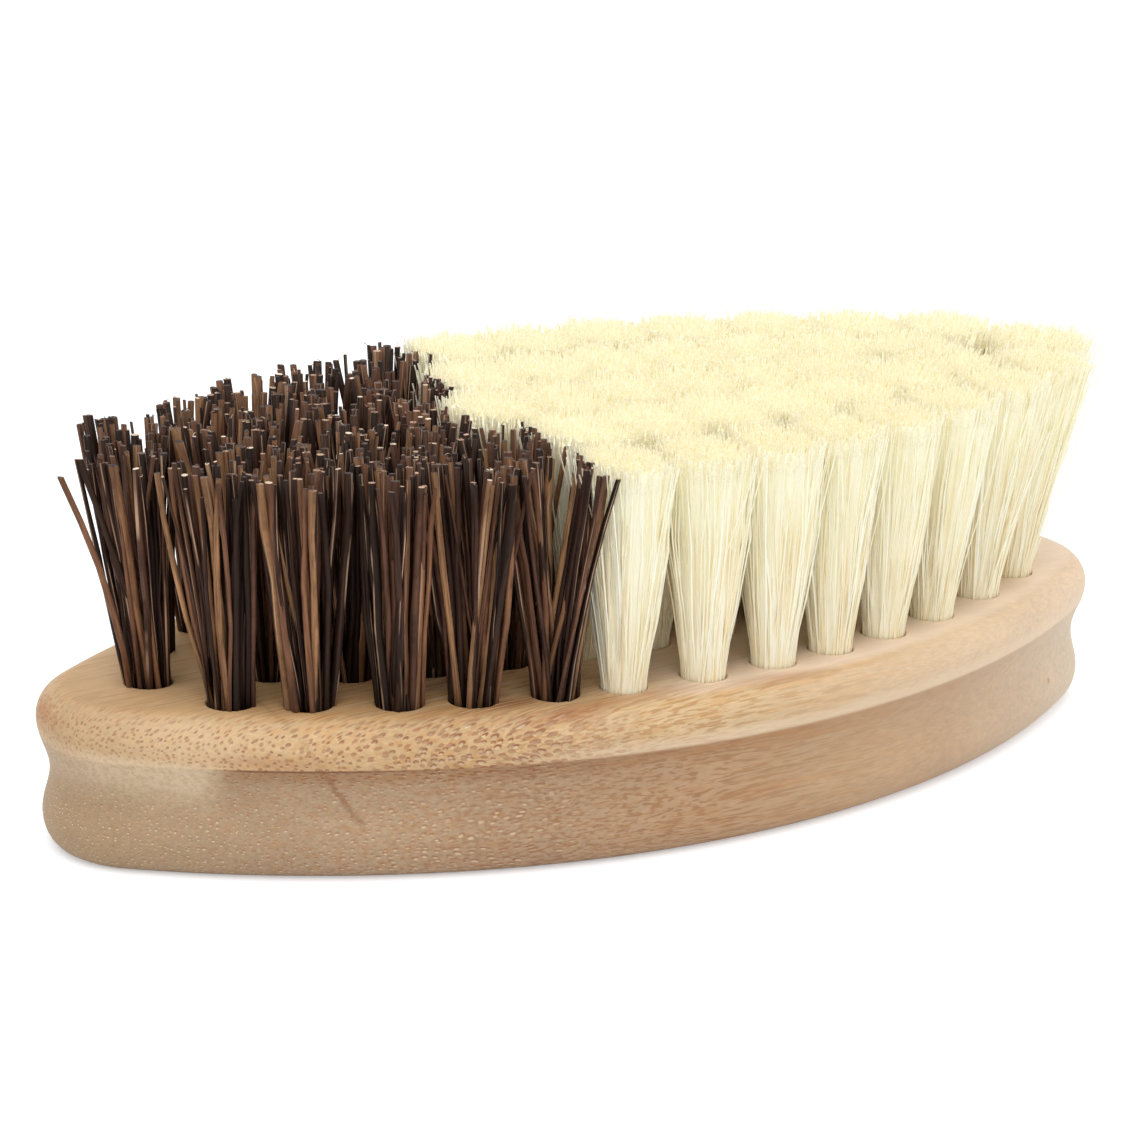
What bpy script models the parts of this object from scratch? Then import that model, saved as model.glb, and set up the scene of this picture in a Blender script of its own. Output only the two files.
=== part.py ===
# Bamboo scrub brush, lying on the flat back of its block with the bristles up.
# Metres, +Z up. The origin is the middle of the flat back, and +X runs along
# the block towards the end with the white bristles.

import bpy
import bmesh
from math import asin, atan2, cos, pi, radians, sin, sqrt
from mathutils import Vector

# Block: its outline is two long arcs joined by a round nose at each end
block_length = 0.130
block_width = 0.060
block_height = 0.0174
nose_radius = 0.0115

# Block edge, from the bristle face down: lip, ridge, finger cove, bulge, back
lip_radius = 0.00335
ridge_drop = 0.00175
cove_depth = 0.00135
cove_place_share = 0.55
bulge_height = 0.0036
bulge_inset = 0.0005
back_round = 0.0025

# Blind holes for the tufts
hole_diameter = 0.0050
hole_floor = 0.0055
mouth_margin = 0.00065
cut_overrun = 0.001

# Rows of tufts: two arcs along the sides with a tuft at each nose, an oval ring
# inside them and a straight row in the middle. The palm tufts fill the -X end.
front_count = 13
back_count = 12
inner_count = 22
middle_count = 8
front_palm_count = 5
back_palm_count = 5
inner_palm_count = 8
middle_palm_count = 2
nose_setback = 0.0053
nose_lead = 0.0039
row_step_along = 0.0102

# How far each hole of the front row lies off its equal step, along the row
front_slips = (0.0011, 0.0004, 0.0011, 0.0001, 0.0002, -0.0008, 0, 0.0003, -0.0002, -0.0005, -0.0004, 0.0009, 0.0017)

# Tuft: a folded bundle on a flat wire anchor, with its bristles fanned out
tuft_clearance = 0.0003
bristle_length = 0.0256
strands_round_tuft = 6
strand_root_radius = 0.00055
strand_tip_radius = 0.00048
strand_margin = 0.00035
strand_foot = 0.0006
strand_gap = 0.0003
tip_spread = 0.0034
palm_lean = 0.0023
tampico_lean = 0.0042
lean_power = 2.5
side_lean = 0.0005
trim_unevenness = 0.0007
anchor_thickness = 0.0005
anchor_height = 0.0018
anchor_bite = 0.0006

# Facets
side_steps = 20
nose_steps = 10
under_lip_steps = 2
over_lip_steps = 5
cove_steps = 3
back_steps = 4
hole_sides = 10
strand_sides = 3
path_steps = 1440
smooth_angle = radians(35)

# Finishes: colour, roughness, metallic
finishes = {
    "laminated_bamboo": ((0.62, 0.43, 0.25, 1), 0.55, 0),
    "palm_fibre": ((0.045, 0.022, 0.014, 1), 0.5, 0),
    "tampico_fibre": ((0.86, 0.80, 0.60, 1), 0.6, 0),
}


def clear_scene():
    for obj in list(bpy.data.objects):
        bpy.data.objects.remove(obj, do_unlink=True)


def make_finish(name):
    colour, roughness, metallic = finishes[name]
    finish = bpy.data.materials.new(name)
    finish.use_nodes = True
    shader = finish.node_tree.nodes["Principled BSDF"]
    shader.inputs["Base Color"].default_value = colour
    shader.inputs["Roughness"].default_value = roughness
    shader.inputs["Metallic"].default_value = metallic
    finish.diffuse_color = colour
    return finish


def add_object(name, mesh_data, finish=None):
    mesh = bpy.data.meshes.new(name)
    bmesh.ops.recalc_face_normals(mesh_data, faces=mesh_data.faces)
    mesh_data.to_mesh(mesh)
    mesh_data.free()
    obj = bpy.data.objects.new(name, mesh)
    bpy.context.scene.collection.objects.link(obj)
    if finish:
        mesh.materials.append(finish)
    return obj


def combine(obj, tool, operation):
    """Joins the tool to the object, or cuts it out, and keeps the result as the object's mesh."""
    modifier = obj.modifiers.new(operation.lower(), "BOOLEAN")
    modifier.operation = operation
    modifier.solver = "EXACT"
    modifier.object = tool
    depsgraph = bpy.context.evaluated_depsgraph_get()
    result = bpy.data.meshes.new_from_object(obj.evaluated_get(depsgraph))
    obj.modifiers.clear()
    obj.data = result
    bpy.data.objects.remove(tool, do_unlink=True)


def loft(mesh_data, rings):
    """A closed body through rings that have the same number of points."""
    loops = [[mesh_data.verts.new(point) for point in ring] for ring in rings]
    count = len(loops[0])
    for low, high in zip(loops, loops[1:]):
        for i in range(count):
            j = (i + 1) % count
            mesh_data.faces.new((low[i], low[j], high[j], high[i]))
    mesh_data.faces.new(loops[0][::-1])
    mesh_data.faces.new(loops[-1])


def side_arc():
    """The radius of the block's side arcs, and how far their centres lie from its middle line."""
    nose_x = block_length / 2 - nose_radius
    half_width = block_width / 2
    side_radius = (half_width**2 + nose_x**2 - nose_radius**2) / (2 * (half_width - nose_radius))
    return side_radius, side_radius - half_width


def block_outline(inset, height):
    """The block's outline, moved in by the inset: each arc keeps its centre."""
    nose_x = block_length / 2 - nose_radius
    side_radius, side_y = side_arc()
    join = atan2(side_y, nose_x)
    points = []
    for turn in (1, -1):
        for step in range(side_steps):
            angle = -pi + join + (pi - 2 * join) * step / side_steps
            x = (side_radius - inset) * cos(angle)
            y = side_y + (side_radius - inset) * sin(angle)
            points.append(Vector((turn * x, turn * y, height)))
        for step in range(nose_steps):
            angle = -join + 2 * join * step / nose_steps
            x = nose_x + (nose_radius - inset) * cos(angle)
            y = (nose_radius - inset) * sin(angle)
            points.append(Vector((turn * x, turn * y, height)))
    return points


def edge_profile():
    """Pairs of inset and height up the block's edge, from the flat back to the bristle face."""
    profile = []
    for step in range(back_steps + 1):
        angle = pi / 2 * step / back_steps
        inset = bulge_inset + back_round * (1 - sin(angle))
        profile.append((inset, bulge_height * (1 - cos(angle))))
    lip_height = block_height - lip_radius
    ridge_angle = asin(ridge_drop / lip_radius)
    ridge_inset = lip_radius * (1 - cos(ridge_angle))
    ridge_height = lip_height - ridge_drop
    cove_height = bulge_height + cove_place_share * (ridge_height - bulge_height)
    for step in range(1, cove_steps + 1):
        ease = (1 - cos(pi * step / cove_steps)) / 2
        height = bulge_height + (cove_height - bulge_height) * step / cove_steps
        profile.append((bulge_inset + (cove_depth - bulge_inset) * ease, height))
    for step in range(1, cove_steps + 1):
        part = step / cove_steps
        height = cove_height + (ridge_height - cove_height) * part
        profile.append((cove_depth - (cove_depth - ridge_inset) * part**2, height))
    under_lip = [-ridge_angle * (1 - step / under_lip_steps) for step in range(1, under_lip_steps + 1)]
    over_lip = [pi / 2 * step / over_lip_steps for step in range(1, over_lip_steps + 1)]
    for angle in under_lip + over_lip:
        profile.append((lip_radius * (1 - cos(angle)), lip_height + lip_radius * sin(angle)))
    return profile


def regular_ring(centre, radius, height, sides, turn=0):
    angles = [turn + 2 * pi * i / sides for i in range(sides)]
    return [Vector((centre.x + radius * cos(a), centre.y + radius * sin(a), height)) for a in angles]


def side_row(half_length, inset, count, side, slips):
    """Places at equal steps, each with its slip, along an arc that shares its centre with the block's side arc."""
    side_radius, side_y = side_arc()
    radius = side_radius - inset
    reach = asin(half_length / radius)
    angles = [reach * (2 * i / (count - 1) - 1) + slip / radius for i, slip in enumerate(slips)]
    return [Vector((radius * sin(a), side * (radius * cos(a) - side_y))) for a in angles]


def oval_row(half_length, half_width, count):
    """Places at equal steps along an oval, with its two ends halfway between places."""
    path = []
    for step in range(path_steps + 1):
        angle = pi + 2 * pi * step / path_steps
        path.append(Vector((half_length * cos(angle), half_width * sin(angle))))
    lengths = [(b - a).length for a, b in zip(path, path[1:])]
    spacing = sum(lengths) / count
    places = []
    travelled = 0
    target = spacing / 2
    for start, end, length in zip(path, path[1:], lengths):
        while len(places) < count and target <= travelled + length:
            places.append(start.lerp(end, (target - travelled) / length))
            target += spacing
        travelled += length
    return sorted(places, key=lambda place: place.x)


def straight_row(half_length, count):
    return [Vector((half_length * (2 * i / (count - 1) - 1), 0)) for i in range(count)]


def tuft_rows():
    """Each row's name, its root places from the -X end, and how many of them hold palm."""
    inset = lip_radius + hole_diameter / 2 + mouth_margin
    nose_x = block_length / 2 - inset - nose_setback
    side_x = nose_x - nose_lead
    inner_x = nose_x - row_step_along
    middle_spacing = 2 * (inner_x - row_step_along) / middle_count
    middle_x = middle_spacing * (middle_count - 1) / 2
    return [
        ("nose", straight_row(nose_x, 2), 1),
        ("front", side_row(side_x, inset, front_count, -1, front_slips), front_palm_count),
        ("back", side_row(side_x, inset, back_count, 1, (0,) * back_count), back_palm_count),
        ("inner", oval_row(inner_x, (block_width / 2 - inset) / 2, inner_count), inner_palm_count),
        ("middle", straight_row(middle_x, middle_count), middle_palm_count),
    ]


def tip_places(roots):
    """Where the middle of each tuft's tips lies: the tufts lean outwards, most of all at the noses."""
    farthest = max(root.x for root in roots)
    across = 1 + side_lean / max(root.y for root in roots)
    tips = []
    for root in roots:
        lean = tampico_lean if root.x > 0 else -palm_lean
        along = lean * (abs(root.x) / farthest) ** lean_power
        tips.append(Vector((root.x + along, root.y * across)))
    return tips


def spread_at_tip(tip, tips):
    """How far a tuft's outer strands spread, so that they stay clear of the next tuft's."""
    nearest = min((other - tip).length for other in tips if other != tip)
    return min(tip_spread, nearest / 2 - strand_tip_radius - strand_gap / 2)


def make_block(roots, finish):
    body = bmesh.new()
    loft(body, [block_outline(inset, height) for inset, height in edge_profile()])
    block = add_object("block", body, finish)
    drill = bmesh.new()
    for root in roots:
        floor = regular_ring(root, hole_diameter / 2, hole_floor, hole_sides)
        mouth = regular_ring(root, hole_diameter / 2, block_height + cut_overrun, hole_sides)
        loft(drill, [floor, mouth])
    combine(block, add_object("tuft_holes", drill), "DIFFERENCE")
    for face in block.data.polygons:
        face.use_smooth = True
    block.data.set_sharp_from_angle(angle=smooth_angle)
    return block


def add_strand(body, root, tip, turn, tip_height):
    foot = regular_ring(root, strand_root_radius, block_height - strand_foot, strand_sides, turn)
    end = regular_ring(tip, strand_tip_radius, tip_height, strand_sides, turn)
    loft(body, [foot, end])


def make_strands(root, tip, spread, turn):
    """The bristles of one tuft: one in the middle and the others round it, fanned out to the tips."""
    body = bmesh.new()
    tip_height = block_height + bristle_length
    circle = hole_diameter / 2 - tuft_clearance - strand_root_radius - strand_margin
    add_strand(body, root, tip, turn, tip_height)
    for i in range(strands_round_tuft):
        angle = turn + 2 * pi * i / strands_round_tuft
        outward = Vector((cos(angle), sin(angle)))
        trimmed = trim_unevenness * (1 + sin(angle + turn * strands_round_tuft)) / 2
        add_strand(body, root + outward * circle, tip + outward * spread, angle, tip_height - trimmed)
    return add_object("strands", body)


def make_anchor(root):
    """The flat wire that the folded bundle is driven in with, across the foot of the tuft."""
    body = bmesh.new()
    half_width = (hole_diameter / 2 - tuft_clearance) * cos(pi / hole_sides)
    low = hole_floor + tuft_clearance
    corners = [(-half_width, -anchor_thickness / 2), (half_width, -anchor_thickness / 2)]
    corners += [(-x, -y) for x, y in corners]
    heights = (low, low + anchor_height + anchor_bite)
    loft(body, [[Vector((root.x + x, root.y + y, z)) for x, y in corners] for z in heights])
    return add_object("anchor", body)


def make_tuft(name, root, tip, spread, turn, finish):
    """One tuft: the packed fold inside its hole, the anchor under it and the bristles above."""
    body = bmesh.new()
    radius = hole_diameter / 2 - tuft_clearance
    fold_height = hole_floor + tuft_clearance + anchor_height
    fold = regular_ring(root, radius, fold_height, hole_sides)
    mouth = regular_ring(root, radius, block_height, hole_sides)
    loft(body, [fold, mouth])
    tuft = add_object(name, body, finish)
    combine(tuft, make_strands(root, tip, spread, turn), "UNION")
    combine(tuft, make_anchor(root), "UNION")
    return tuft


def make_tufts(rows, finish_of):
    roots = [root for row_name, places, palm_count in rows for root in places]
    tips = tip_places(roots)
    golden_turn = pi * (3 - sqrt(5))
    made = 0
    for row_name, places, palm_count in rows:
        for number in range(1, len(places) + 1):
            fibre = "palm" if number <= palm_count else "tampico"
            name = f"{fibre}_tuft_{row_name}_{number:02d}"
            spread = spread_at_tip(tips[made], tips)
            make_tuft(name, roots[made], tips[made], spread, made * golden_turn, finish_of[fibre])
            made += 1
    return made


clear_scene()
rows = tuft_rows()
make_block([root for row in rows for root in row[1]], make_finish("laminated_bamboo"))
fibre_finishes = {"palm": make_finish("palm_fibre"), "tampico": make_finish("tampico_fibre")}
tuft_count = make_tufts(rows, fibre_finishes)
print("tufts", tuft_count, "strands", tuft_count * (strands_round_tuft + 1))
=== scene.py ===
from math import atan2, cos, pi, radians, sin

import bmesh
import bpy
import numpy as np
from mathutils import Matrix, Vector


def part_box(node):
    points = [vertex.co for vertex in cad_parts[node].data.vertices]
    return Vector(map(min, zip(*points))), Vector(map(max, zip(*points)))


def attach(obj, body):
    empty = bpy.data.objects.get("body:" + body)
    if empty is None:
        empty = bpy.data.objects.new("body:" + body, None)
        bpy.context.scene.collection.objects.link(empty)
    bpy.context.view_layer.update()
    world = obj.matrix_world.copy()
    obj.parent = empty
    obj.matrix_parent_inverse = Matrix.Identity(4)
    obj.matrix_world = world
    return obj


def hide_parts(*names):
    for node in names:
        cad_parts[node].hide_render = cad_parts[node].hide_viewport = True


# Bamboo scrub brush lying on its flat back: stiff dark bristles at one end, fine ivory ones at the other.
# Metres throughout, +X along the block towards the ivory end, +Z up.

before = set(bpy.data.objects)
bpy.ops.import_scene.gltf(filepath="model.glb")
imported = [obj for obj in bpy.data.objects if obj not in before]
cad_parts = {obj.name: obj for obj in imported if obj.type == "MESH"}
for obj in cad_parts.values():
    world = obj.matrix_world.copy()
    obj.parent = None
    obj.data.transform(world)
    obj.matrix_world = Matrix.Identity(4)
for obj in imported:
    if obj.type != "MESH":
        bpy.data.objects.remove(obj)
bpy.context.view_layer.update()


def hexColour(text):
    # "#RRGGBB" as it looks on screen, to the linear values that a socket wants
    channels = [int(text[i:i + 2], 16) / 255 for i in (1, 3, 5)]
    linear = [c / 12.92 if c <= 0.04045 else ((c + 0.055) / 1.055) ** 2.4 for c in channels]
    return (*linear, 1.0)


def addNode(tree, kind, inputs=None, stops=None, **settings):
    # one node: settings are its own properties, inputs are plain values or the nodes that feed it
    node = tree.nodes.new("ShaderNode" + kind)
    for name, value in settings.items():
        setattr(node, name, value)
    for socket, value in (inputs or {}).items():
        if isinstance(value, bpy.types.Node):
            # a colour mix gives its third output, every other node its first
            value = value.outputs[2 if value.bl_idname == "ShaderNodeMix" else 0]
        if isinstance(value, bpy.types.NodeSocket):
            tree.links.new(value, node.inputs[socket])
        else:
            node.inputs[socket].default_value = value
    if stops:
        ramp = node.color_ramp
        while len(ramp.elements) < len(stops):
            ramp.elements.new(0.5)
        for element, (place, colour) in zip(ramp.elements, stops):
            element.position = place
            element.color = hexColour(colour) if isinstance(colour, str) else (colour, colour, colour, 1)
    return node


def newMaterial(name, settings=None):
    material = bpy.data.materials.new(name)
    material.use_nodes = True
    shader = material.node_tree.nodes["Principled BSDF"]
    for socket, value in (settings or {}).items():
        shader.inputs[socket].default_value = value
    return material, material.node_tree, shader


def deselectAll():
    if bpy.context.object and bpy.context.object.mode != "OBJECT":
        bpy.ops.object.mode_set(mode="OBJECT")
    bpy.ops.object.select_all(action="DESELECT")


def nodePoints(name):
    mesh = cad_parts[name].data
    points = np.zeros(len(mesh.vertices) * 3)
    mesh.vertices.foreach_get("co", points)
    return points.reshape(-1, 3)


cameraView = {
    "place": (-0.202585, -0.347158, 0.150731),
    "yaw": 0.519658,
    "pitch": 0.307757,
    "roll": 0.022582,
    "lens": 122.4714,
    "sensor": 36,
}


def addCamera():
    deselectAll()
    bpy.ops.object.camera_add()
    camera = bpy.context.object
    camera.name = "photoCamera"
    camera.data.lens = cameraView["lens"]
    camera.data.sensor_width = cameraView["sensor"]
    camera.data.clip_start = 0.01
    turn = Matrix.Rotation(-cameraView["yaw"], 4, "Z")
    turn @= Matrix.Rotation(pi / 2 - cameraView["pitch"], 4, "X")
    turn @= Matrix.Rotation(cameraView["roll"], 4, "Z")
    camera.matrix_world = Matrix.Translation(cameraView["place"]) @ turn
    bpy.context.scene.camera = camera


studio = {
    "floorSize": 12.0,
    "floorColour": "#E9EDF2",
    "floorGlow": 0.35,
    "worldStrength": 1.0,
    "keySize": 0.9,
    "keyPlace": (-0.35, -0.35, 1.1),
    "keyPower": 4.0,
}


def addStudio():
    deselectAll()
    bpy.ops.mesh.primitive_plane_add(size=studio["floorSize"], location=(0, 0, 0))
    floor = bpy.context.object
    floor.name = "paleFloor"
    material, tree, shader = newMaterial("matt white paper sweep", {
        "Base Color": hexColour(studio["floorColour"]), "Roughness": 0.9, "Specular IOR Level": 0.1,
        "Emission Color": (1, 1, 1, 1)})
    path = addNode(tree, "LightPath").outputs
    seen = addNode(tree, "Math", {0: path["Is Camera Ray"], 1: path["Is Glossy Ray"]}, operation="MAXIMUM")
    glow = addNode(tree, "Math", {0: seen, 1: studio["floorGlow"]}, operation="MULTIPLY")
    tree.links.new(glow.outputs[0], shader.inputs["Emission Strength"])
    floor.data.materials.append(material)

    world = bpy.data.worlds.new("paleStudio")
    bpy.context.scene.world = world
    world.use_nodes = True
    tree = world.node_tree
    path = addNode(tree, "LightPath").outputs
    seen = addNode(tree, "Math", {0: path["Is Camera Ray"], 1: path["Is Glossy Ray"]}, operation="MAXIMUM")
    strength = addNode(tree, "MapRange", {"Value": seen, "To Min": studio["worldStrength"], "To Max": 1.0})
    back = tree.nodes["Background"]
    back.inputs["Color"].default_value = (1, 1, 1, 1)
    tree.links.new(strength.outputs[0], back.inputs["Strength"])

    bpy.ops.object.light_add(type="AREA", location=studio["keyPlace"])
    key = bpy.context.object
    key.name = "softKey"
    key.data.shape = "DISK"
    key.data.size = studio["keySize"]
    key.data.energy = studio["keyPower"]
    key.rotation_euler = (-Vector(studio["keyPlace"])).to_track_quat("-Z", "Y").to_euler()


blockShape = {
    "noseRadius": 0.0115,
    "lipRadius": 0.00335,
    "ridgeDrop": 0.00175,
    "ridgeInset": 0.00022,
    "coveDepth": 0.00135,
    "covePlace": 0.55,
    "bulgeHeight": 0.0036,
    "bulgeInset": 0.0005,
    "backRound": 0.0025,
    "holeRadius": 0.0025,
    "holeFloor": 0.0055,
    "holeRim": 0.00015,
    "holeSides": 32,
    "drillOver": 0.001,         # the drill stands this far out of the block
    "smoothAngle": 22,          # degrees
    "sideSteps": 96,
    "noseSteps": 40,
    "backSteps": 6,
    "coveSteps": 8,
    "underLipSteps": 5,
    "overLipSteps": 12,
    # how far the ridge is sanded away, from 0 crisp to 1 gone, by place along the block in metres
    "wornPlaces": (-0.0545, -0.0505, -0.012, 0.010, 0.034),
    "wornShares": (1.0, 0.0, 0.0, 0.45, 0.8),
}


def sideArc(high):
    # radius of the two side arcs, how far their centres lie off the middle line, and the nose's centre
    nose = blockShape["noseRadius"]
    noseX = high.x - nose
    radius = (high.y ** 2 + noseX ** 2 - nose ** 2) / (2 * (high.y - nose))
    return radius, radius - high.y, noseX


def blockOutline(high):
    s = blockShape
    radius, sideY, noseX = sideArc(high)
    join = atan2(sideY, noseX)
    points = []
    for turn in (1, -1):
        for step in range(s["sideSteps"]):
            angle = -pi + join + (pi - 2 * join) * step / s["sideSteps"]
            points.append(Vector((turn * radius * cos(angle), turn * (sideY + radius * sin(angle)), 0)))
        for step in range(s["noseSteps"]):
            angle = -join + 2 * join * step / s["noseSteps"]
            x = noseX + s["noseRadius"] * cos(angle)
            points.append(Vector((turn * x, turn * s["noseRadius"] * sin(angle), 0)))
    return points


def outwards(place, arc):
    # the direction straight out of the block's edge at a point of its outline
    _, sideY, noseX = arc
    if atan2(abs(place.x), abs(place.y) + sideY) > atan2(noseX, sideY):
        centre = Vector((noseX if place.x > 0 else -noseX, 0, 0))
    else:
        centre = Vector((0, -sideY if place.y > 0 else sideY, 0))
    return (Vector((place.x, place.y, 0)) - centre).normalized()


def edgeProfile(height):
    # crisp inset, worn inset and height, from the flat back up to the bristle face
    s = blockShape
    profile = []
    for step in range(s["backSteps"] + 1):
        angle = pi / 2 * step / s["backSteps"]
        inset = s["bulgeInset"] + s["backRound"] * (1 - sin(angle))
        profile.append((inset, inset, s["bulgeHeight"] * (1 - cos(angle))))
    lipHeight = height - s["lipRadius"]
    ridgeHeight = lipHeight - s["ridgeDrop"]
    coveHeight = s["bulgeHeight"] + s["covePlace"] * (ridgeHeight - s["bulgeHeight"])
    for step in range(1, s["coveSteps"] + 1):
        part = step / s["coveSteps"]
        inset = s["bulgeInset"] + (s["coveDepth"] - s["bulgeInset"]) * (1 - cos(pi * part)) / 2
        profile.append((inset, inset, s["bulgeHeight"] + (coveHeight - s["bulgeHeight"]) * part))
    upper = []
    for step in range(1, s["coveSteps"] + 1):
        part = step / s["coveSteps"]
        inset = s["coveDepth"] - (s["coveDepth"] - s["ridgeInset"]) * part ** 3
        upper.append((inset, coveHeight + (ridgeHeight - coveHeight) * part))
    for step in range(1, s["underLipSteps"] + 1):
        part = step / s["underLipSteps"]
        upper.append((s["ridgeInset"] * (1 - part) ** 2, ridgeHeight + s["ridgeDrop"] * part))
    for inset, up in upper:
        worn = s["coveDepth"] * (1 + cos(pi * (up - coveHeight) / (lipHeight - coveHeight))) / 2
        profile.append((inset, worn, up))
    for step in range(1, s["overLipSteps"] + 1):
        angle = pi / 2 * step / s["overLipSteps"]
        inset = s["lipRadius"] * (1 - cos(angle))
        profile.append((inset, inset, lipHeight + s["lipRadius"] * sin(angle)))
    return profile


def makeDrill(rootPlaces, top):
    # one drill with a chamfered mouth, copied to each hole and joined
    s = blockShape
    deselectAll()
    depth = top - s["holeRim"] - s["holeFloor"]
    bpy.ops.mesh.primitive_cylinder_add(vertices=s["holeSides"], radius=s["holeRadius"], depth=depth,
                                        location=(0, 0, s["holeFloor"] + depth / 2))
    drill = bpy.context.object
    bpy.ops.object.transform_apply(location=True, rotation=True, scale=True)
    bpy.ops.object.mode_set(mode="EDIT")
    bpy.ops.mesh.select_mode(type="FACE")
    shape = bmesh.from_edit_mesh(drill.data)
    for face in shape.faces:
        face.select_set(face.normal.z > 0.9)
    bmesh.update_edit_mesh(drill.data)
    bpy.ops.mesh.extrude_region_move(TRANSFORM_OT_translate={"value": (0, 0, s["holeRim"])})
    widen = 1 + s["holeRim"] / s["holeRadius"]
    bpy.ops.transform.resize(value=(widen, widen, 1))
    bpy.ops.mesh.extrude_region_move(TRANSFORM_OT_translate={"value": (0, 0, s["drillOver"])})
    bpy.ops.object.mode_set(mode="OBJECT")
    drills = []
    for place in rootPlaces:
        copy = bpy.data.objects.new("drill", drill.data.copy())
        copy.data.transform(Matrix.Translation((place[0], place[1], 0)))
        bpy.context.scene.collection.objects.link(copy)
        drills.append(copy)
    bpy.data.objects.remove(drill)
    deselectAll()
    for copy in drills:
        copy.select_set(True)
    bpy.context.view_layer.objects.active = drills[0]
    bpy.ops.object.join()
    return bpy.context.object


def makeBlock(rootPlaces, material):
    _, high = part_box("block")
    arc = sideArc(high)
    outline = blockOutline(high)
    profile = edgeProfile(high.z)
    deselectAll()
    bpy.ops.mesh.primitive_circle_add(vertices=len(outline), radius=high.x, fill_type="NGON")
    block = bpy.context.object
    block.name = "bambooBlock"
    startInset, _, startHeight = profile[0]
    for vertex, place in zip(block.data.vertices, outline):
        vertex.co = place - outwards(place, arc) * startInset + Vector((0, 0, startHeight))
    bpy.ops.object.mode_set(mode="EDIT")
    bpy.ops.mesh.select_all(action="SELECT")
    for (inset, worn, height), (nextInset, nextWorn, nextHeight) in zip(profile, profile[1:]):
        bpy.ops.mesh.extrude_region_move(TRANSFORM_OT_translate={"value": (0, 0, nextHeight - height)})
        shape = bmesh.from_edit_mesh(block.data)
        for vertex in shape.verts:
            if vertex.select:
                share = np.interp(vertex.co.x, blockShape["wornPlaces"], blockShape["wornShares"])
                step = (nextInset - inset) * (1 - share) + (nextWorn - worn) * share
                vertex.co -= outwards(vertex.co, arc) * step
        bmesh.update_edit_mesh(block.data)
    bpy.ops.mesh.select_all(action="SELECT")
    bpy.ops.mesh.normals_make_consistent(inside=False)
    bpy.ops.object.mode_set(mode="OBJECT")
    drill = makeDrill(rootPlaces, high.z)
    deselectAll()
    block.select_set(True)
    bpy.context.view_layer.objects.active = block
    cut = block.modifiers.new("tuftHoles", "BOOLEAN")
    cut.operation = "DIFFERENCE"
    cut.solver = "EXACT"
    cut.object = drill
    bpy.ops.object.modifier_apply(modifier=cut.name)
    bpy.data.objects.remove(drill)
    bpy.ops.object.shade_smooth_by_angle(angle=radians(blockShape["smoothAngle"]))
    block.data.materials.clear()
    block.data.materials.append(material)
    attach(block, "root")
    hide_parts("block")


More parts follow.
